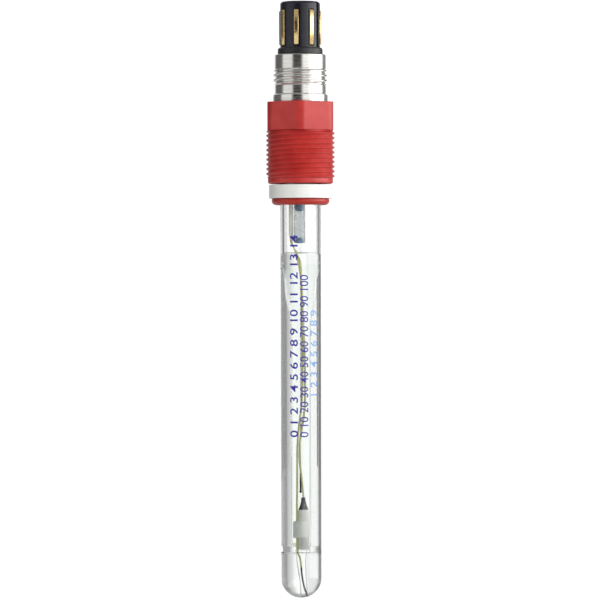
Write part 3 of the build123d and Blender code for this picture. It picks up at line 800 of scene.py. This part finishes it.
# the turned foot and flange, the thread and the turned top, each a grid on the same columns
def makeSleeve():
    angles = np.linspace(0, 2 * pi, sleeve["columns"], endpoint=False)
    edge = sleeve["flangeEdge"]
    broad, ease, fine = sleeve["eases"]
    lower = easedLine([
        (sleeve["glassBore"], sleeve["shelf"]), (sleeve["glassBore"], sleeve["bottom"]),
        (sleeve["spigot"], sleeve["bottom"], ease), (sleeve["spigot"], sleeve["collarTop"]),
        (sleeve["flange"], sleeve["collarTop"], broad), (sleeve["flange"], sleeve["flangeTop"] - edge, fine),
        (sleeve["flange"] - edge, sleeve["flangeTop"], fine), (sleeve["land"], sleeve["flangeTop"], ease),
        (sleeve["land"], sleeve["landTop"], fine), (sleeveThread["core"], sleeve["landTop"]),
    ], 3)
    upper = easedLine([
        (sleeveThread["core"], sleeve["threadTop"]), (sleeve["land"], sleeve["threadTop"], fine),
        (sleeve["land"], sleeve["top"], sleeve["topEdge"]), (sleeve["bore"], sleeve["top"], ease),
        (sleeve["bore"], sleeve["shelf"]), (sleeve["glassBore"], sleeve["shelf"]),
    ], 6)
    grids = [turnedAt(lower, angles), threadGrid(sleeveThread, angles), turnedAt(upper, angles)]
    finishes = [looks["steel"]]
    addPiece("threadedSleeve", joined(*grids), finishes, ("threaded_sleeve",), sharp=25)


# plug head
plug = {
    "radius": 5.9,
    "bottom": 42.6,
    "top": 58.3,
    "rounding": 0.9,
    "shank": 6.6,
    "shankBottom": 30.0,
    "cavity": 4.5,
    "cavityRoof": 36.0,
    "grooveHalf": 0.83,
    "grooveFloor": 5.35,
    "grooveLevels": (45.0, 56.0),
    "contacts": 8,
    "firstContact": 34.0,  # degrees from the front towards the right
    "slotHalf": 0.45,
    "slotFloor": 5.0,
    "slotLevels": (44.65, 60.0),
    "slotAngle": 60.0,
    "edge": 0.1,
    "plainStep": 3.0,  # degrees between plain columns
    "plainGap": 1.6,  # least degrees from a plain column to a groove's
    "uncut": 99.0,  # a radius outside everything
}


# columns across one groove: (angle, radius) of the eased edges, the side walls and the flat floor
def grooveColumns(half, floor):
    radius, edge = plug["radius"], plug["edge"]
    edges = [(1, 0), (0.4, 0.12), (0.1, 0.5)]  # shares of the edge outwards and inwards
    edges = [(half + out * edge, radius - down * edge) for out, down in edges]
    edges = [(across, (deep**2 - across**2) ** 0.5) for across, deep in edges]
    walls = [(half, radius - 2 * edge), (half, floor), (half / 2, floor), (0, floor)]
    side = np.array(edges + walls)
    side = np.concatenate([side, side[-2::-1] * [-1, 1]])[::-1]
    return np.degrees(np.arctan2(side[:, 0], side[:, 1])), np.hypot(side[:, 0], side[:, 1])


# r = the smaller of the row's own radius and the radius of the groove that the column crosses
def makePlug():
    cuts = [(plug["firstContact"] + index * 360 / plug["contacts"], plug["grooveHalf"], plug["grooveFloor"],
             plug["grooveLevels"]) for index in range(plug["contacts"])]
    cuts.append((plug["slotAngle"], plug["slotHalf"], plug["slotFloor"], plug["slotLevels"]))
    angles, depths, lows, highs = [], [], [], []
    for middle, half, floor, (low, high) in cuts:
        turn, depth = grooveColumns(half, floor)
        angles.append(middle - 90 + turn)
        depths.append(depth)
        lows.append(np.full(len(turn), low))
        highs.append(np.full(len(turn), high))
    angles, depths, lows, highs = (np.concatenate(part) for part in (angles, depths, lows, highs))
    plain = np.arange(-60, 300, plug["plainStep"])
    plain = plain[np.abs((plain[:, None] - angles + 180) % 360 - 180).min(1) > plug["plainGap"]]
    angles = np.concatenate([angles, plain])
    depths = np.concatenate([depths, np.full(len(plain), plug["uncut"])])
    lows = np.concatenate([lows, np.full(len(plain), 0.0)])
    highs = np.concatenate([highs, np.full(len(plain), 0.0)])
    order = np.argsort(angles % 360)
    angles, depths, lows, highs = np.radians(angles[order]), depths[order], lows[order], highs[order]
    low, high = plug["grooveLevels"]
    radius, rounding = plug["radius"], plug["rounding"]
    ease = arcLine((radius - rounding, plug["top"] - rounding), rounding, 0, 90, 9)
    roof, foot = plug["cavityRoof"], plug["shankBottom"]
    shank = [
        (0, roof), (plug["cavity"], roof), (plug["cavity"], foot),
        (plug["shank"], foot), (plug["shank"], plug["bottom"]), (radius, plug["bottom"]),
    ]
    seat = plug["slotLevels"][0]
    side = [(radius, level) for level in (seat, seat, low, low, high, high)]
    rows = np.concatenate([shank, side, ease, [(0, plug["top"])]])
    nudge = np.zeros(len(rows))  # of two rows at one level, one reads just under it and one just over
    nudge[len(shank):len(shank) + 6] = [-0.01, 0.01, -0.01, 0.01, -0.01, 0.01]
    tested = (rows[:, 1] + nudge)[:, None]
    cut = np.where((tested > lows) & (tested < highs), depths, plug["uncut"])
    radii = np.minimum(rows[:, :1], cut)
    grid = roundGrid(radii, rows[:, 1:], angles)
    addPiece("plugInsert", grid, [looks["plug"]], ("plug_insert",), sharp=28)
    for index in range(plug["contacts"]):
        smoothNode(f"contactBlade{index + 1}", f"contact_blade_{index + 1}", looks["gilt"])


sealRing = {
    "inner": 5.9,
    "outer": 6.65,
    "bottom": 42.6,
    "top": 44.65,
    "shoulder": 0.7,
    "foot": 0.2,
    "columns": 128,
}


# a turned ring with a round shoulder
def makeSealRing():
    line = easedLine([
        (sealRing["inner"], sealRing["top"]), (sealRing["inner"], sealRing["bottom"]),
        (sealRing["outer"], sealRing["bottom"], sealRing["foot"]),
        (sealRing["outer"], sealRing["top"], sealRing["shoulder"]), (sealRing["inner"], sealRing["top"]),
    ], 7)
    ring = turned(line, sealRing["columns"])
    addPiece("plugSealRing", ring, [looks["blackRubber"]], ("plug_seal_ring",))


makeSleeve()
makePlug()
makeSealRing()
print("head made")


# plain numerals printed up the glass
numerals = [
    {"name": "numeralsBold", "text": "0 1 2 3 4 5 6 7 8 9 10 11 12 13 14", "look": "navyInk", "angle": -20.0,
     "levels": (-70.6, -10.9), "size": 2.5, "weight": 0.045},
    {"name": "numeralsFine", "text": "0 10 20 30 40 50 60 70 80 90 100", "look": "navyInk", "angle": 9.5,
     "levels": (-70.6, -22.7), "size": 2.5, "weight": 0.015},
    {"name": "numeralsPale", "text": "1 2 3 4 5 6 7 8 9", "look": "blueInk", "angle": 40.0,
     "levels": (-58.3, -33.1), "size": 2.5, "weight": 0.015},
]
ink = {
    "low": 0.006,  # of the ink's back and front over the glass, in mm
    "high": 0.03,
    "strip": 0.3,
    "fontScale": 1.35,  # font size for one unit of height
    "thickness": 0.01,
    "curveSteps": 6,
    "weld": 1e-4,
}


# a flat text is cut into narrow strips and laid on the glass:
# t = middle - across / radius, x = R sin t, y = -R cos t, z = start + along
def wrapNumerals(row):
    font = bpy.data.curves.new(row["name"], "FONT")
    font.body = row["text"]
    font.size = row["size"] * mm * ink["fontScale"]
    font.offset = row["weight"] * mm
    font.extrude = ink["thickness"] * mm
    font.resolution_u = ink["curveSteps"]
    holder = bpy.data.objects.new(row["name"], font)
    bpy.context.scene.collection.objects.link(holder)
    flat = bpy.data.meshes.new_from_object(holder.evaluated_get(bpy.context.evaluated_depsgraph_get()))
    bpy.data.objects.remove(holder)
    points = np.empty(len(flat.vertices) * 3, np.float32)
    flat.vertices.foreach_get("co", points)
    points = points.reshape(-1, 3).astype(float) / mm
    low, high = points.min(0), points.max(0)
    start, end = row["levels"]
    points[:, 0] = start + (points[:, 0] - low[0]) * (end - start) / (high[0] - low[0])
    points[:, 1] = (points[:, 1] - (low[1] + high[1]) / 2) * row["size"] / (high[1] - low[1])
    flat.vertices.foreach_set("co", points.ravel())
    work = bmesh.new()
    work.from_mesh(flat)
    bmesh.ops.remove_doubles(work, verts=work.verts, dist=ink["weld"])
    for level in np.arange(-row["size"], row["size"], ink["strip"]):
        cut = work.verts[:] + work.edges[:] + work.faces[:]
        bmesh.ops.bisect_plane(work, geom=cut, dist=ink["weld"], plane_co=(0, level, 0), plane_no=(0, 1, 0))
    bmesh.ops.triangulate(work, faces=work.faces)
    work.to_mesh(flat)
    work.free()
    points = np.empty(len(flat.vertices) * 3, np.float32)
    flat.vertices.foreach_get("co", points)
    points = points.reshape(-1, 3).astype(float)
    radius = body["radius"] + np.where(points[:, 2] > 0, ink["high"], ink["low"])
    turn = radians(row["angle"]) - points[:, 1] / body["radius"]
    wrapped = np.stack([radius * np.sin(turn), -radius * np.cos(turn), points[:, 0]], 1) * mm
    flat.vertices.foreach_set("co", wrapped.ravel())
    flat.materials.clear()
    flat.materials.append(looks[row["look"]])
    flat.update()
    place(row["name"], flat)


for row in numerals:
    wrapNumerals(row)
print("numerals made")


# light, floor and camera
studio = {
    # (degrees, tone): 0 is behind the object, 90 to its right, 180 at the camera
    "tones": [
        (-180, 0.02), (-149, 0.02), (-142, 0.95), (-98, 0.95), (-90, 0.14), (-42, 0.12), (-27, 0.8),
        (-9, 0.88), (-6, 1.06), (6, 1.06), (10, 0.9), (15, 0.64), (22, 0.5), (26, 0.28), (60, 0.32),
        (68, 3.5), (128, 3.5), (140, 1.25), (166, 1.25), (176, 0.02), (180, 0.02),
    ],
    "floorTone": 0.35,
    "floorBlend": (-0.5, -0.3),  # from the plain tone to the ramp, by the direction's rise
    "skyTone": 0.42,
    "skyBlend": (0.55, 0.42),
    "aim": (0, 0, -0.02),  # where the lights point
    "backdrop": 1.06,  # plain pale backdrop, straight behind the object from any side
}


# radiance by direction: a ramp over atan2(x, y) at the height of the horizon, plain tones above and below
def makeWorld():
    world = bpy.data.worlds.new("studio")
    world.use_nodes = True
    tree = world.node_tree
    nodes, new = tree.nodes, tree.links.new
    direction = nodes.new("ShaderNodeTexCoord")
    parts = nodes.new("ShaderNodeSeparateXYZ")
    new(direction.outputs["Generated"], parts.inputs[0])
    turn = nodes.new("ShaderNodeMath")
    turn.operation = "ARCTAN2"
    new(parts.outputs["X"], turn.inputs[0])
    new(parts.outputs["Y"], turn.inputs[1])
    share = nodes.new("ShaderNodeMapRange")
    share.inputs["From Min"].default_value = -pi
    share.inputs["From Max"].default_value = pi
    new(turn.outputs[0], share.inputs["Value"])
    ramp = nodes.new("ShaderNodeValToRGB")
    marks = ramp.color_ramp.elements
    tones = studio["tones"]
    while len(marks) < len(tones):
        marks.new(0.5)
    for mark, (azimuth, tone) in zip(marks, tones):
        mark.position = (azimuth + 180) / 360
        mark.color = (tone, tone, tone, 1)
    new(share.outputs[0], ramp.inputs[0])
    tone = ramp.outputs["Color"]
    for side in ("floor", "sky"):
        low, high = studio[side + "Blend"]
        plain = studio[side + "Tone"]
        blend = nodes.new("ShaderNodeMapRange")
        blend.inputs["From Min"].default_value = low
        blend.inputs["From Max"].default_value = high
        new(parts.outputs["Z"], blend.inputs["Value"])
        mix = nodes.new("ShaderNodeMix")
        mix.data_type = "RGBA"
        new(blend.outputs[0], mix.inputs["Factor"])
        mix.inputs[6].default_value = (plain, plain, plain, 1)
        new(tone, mix.inputs[7])
        tone = mix.outputs[2]
    ray = nodes.new("ShaderNodeLightPath")
    mix = nodes.new("ShaderNodeMix")
    mix.data_type = "RGBA"
    new(ray.outputs["Is Camera Ray"], mix.inputs["Factor"])
    new(tone, mix.inputs[6])
    plain = studio["backdrop"]
    mix.inputs[7].default_value = (plain, plain, plain, 1)
    new(mix.outputs[2], nodes["Background"].inputs["Color"])
    bpy.context.scene.world = world


lights = [
    {"name": "fill", "azimuth": 12, "height": 0.5, "distance": 0.9, "size": (0.7, 0.7), "power": 4.2,
     "tint": (1, 0.99, 0.97)},
]


# a soft square light that gloss doesn't show; its azimuth counts from the camera's side to the right
def makeLights():
    target = Vector(studio["aim"])
    for row in lights:
        data = bpy.data.lights.new(row["name"], "AREA")
        data.shape = "RECTANGLE"
        data.size, data.size_y = row["size"]
        data.energy = row["power"]
        data.color = row["tint"]
        turn = radians(row["azimuth"])
        spot = Vector((row["distance"] * np.sin(turn), -row["distance"] * np.cos(turn), row["height"]))
        lamp = bpy.data.objects.new(row["name"], data)
        lamp.location = spot
        lamp.rotation_euler = (target - spot).to_track_quat("-Z", "Y").to_euler()
        lamp.visible_camera = False
        lamp.visible_glossy = False
        bpy.context.scene.collection.objects.link(lamp)


floorPaper = {
    "colour": (0.86, 0.86, 0.85),
    "rough": 0.8,
    "rings": (0, 0.4, 0.8, 1.1),
    "level": -0.2,
    "columns": 96,
}


# a flat disc of rings, in metres
def makeFloor():
    angles = np.linspace(0, 2 * pi, floorPaper["columns"], endpoint=False)
    rings = np.array(floorPaper["rings"])[:, None] + 0 * angles
    points, faces = roundGrid(rings, np.full((len(rings), 1), floorPaper["level"]), angles)
    mesh = bpy.data.meshes.new("floor")
    mesh.from_pydata(points.tolist(), [], faces.tolist())
    finishMesh(mesh)
    mesh.materials.append(newLook("floorPaper", floorPaper["colour"], floorPaper["rough"]))
    floor = bpy.data.objects.new("floor", mesh)
    bpy.context.scene.collection.objects.link(floor)


view = {
    "distance": 1.3,
    "height": -0.0301,
    "across": -0.00021,
    "focal": 263.2,
    "sensor": 36.0,
    "roll": -0.127,  # degrees
    "clip": (0.05, 20),
}


# a long lens level with the shaft's middle, turned by the slight lean of the photograph
def makeCamera():
    data = bpy.data.cameras.new("camera")
    data.lens = view["focal"]
    data.sensor_width = view["sensor"]
    data.clip_start, data.clip_end = view["clip"]
    camera = bpy.data.objects.new("camera", data)
    spot = Matrix.Translation((view["across"], -view["distance"], view["height"]))
    level = Matrix.Rotation(radians(90), 4, "X")
    camera.matrix_world = spot @ level @ Matrix.Rotation(radians(view["roll"]), 4, "Z")
    bpy.context.scene.collection.objects.link(camera)
    bpy.context.scene.camera = camera


makeWorld()
makeLights()
makeFloor()
makeCamera()
scene = bpy.context.scene
scene.view_settings.view_transform = "Standard"
scene.cycles.max_bounces = 28
scene.cycles.transmission_bounces = 28
scene.cycles.glossy_bounces = 8
scene.cycles.transparent_max_bounces = 16
scene.cycles.sample_clamp_indirect = 6
scene.cycles.use_denoising = True
print("studio made")
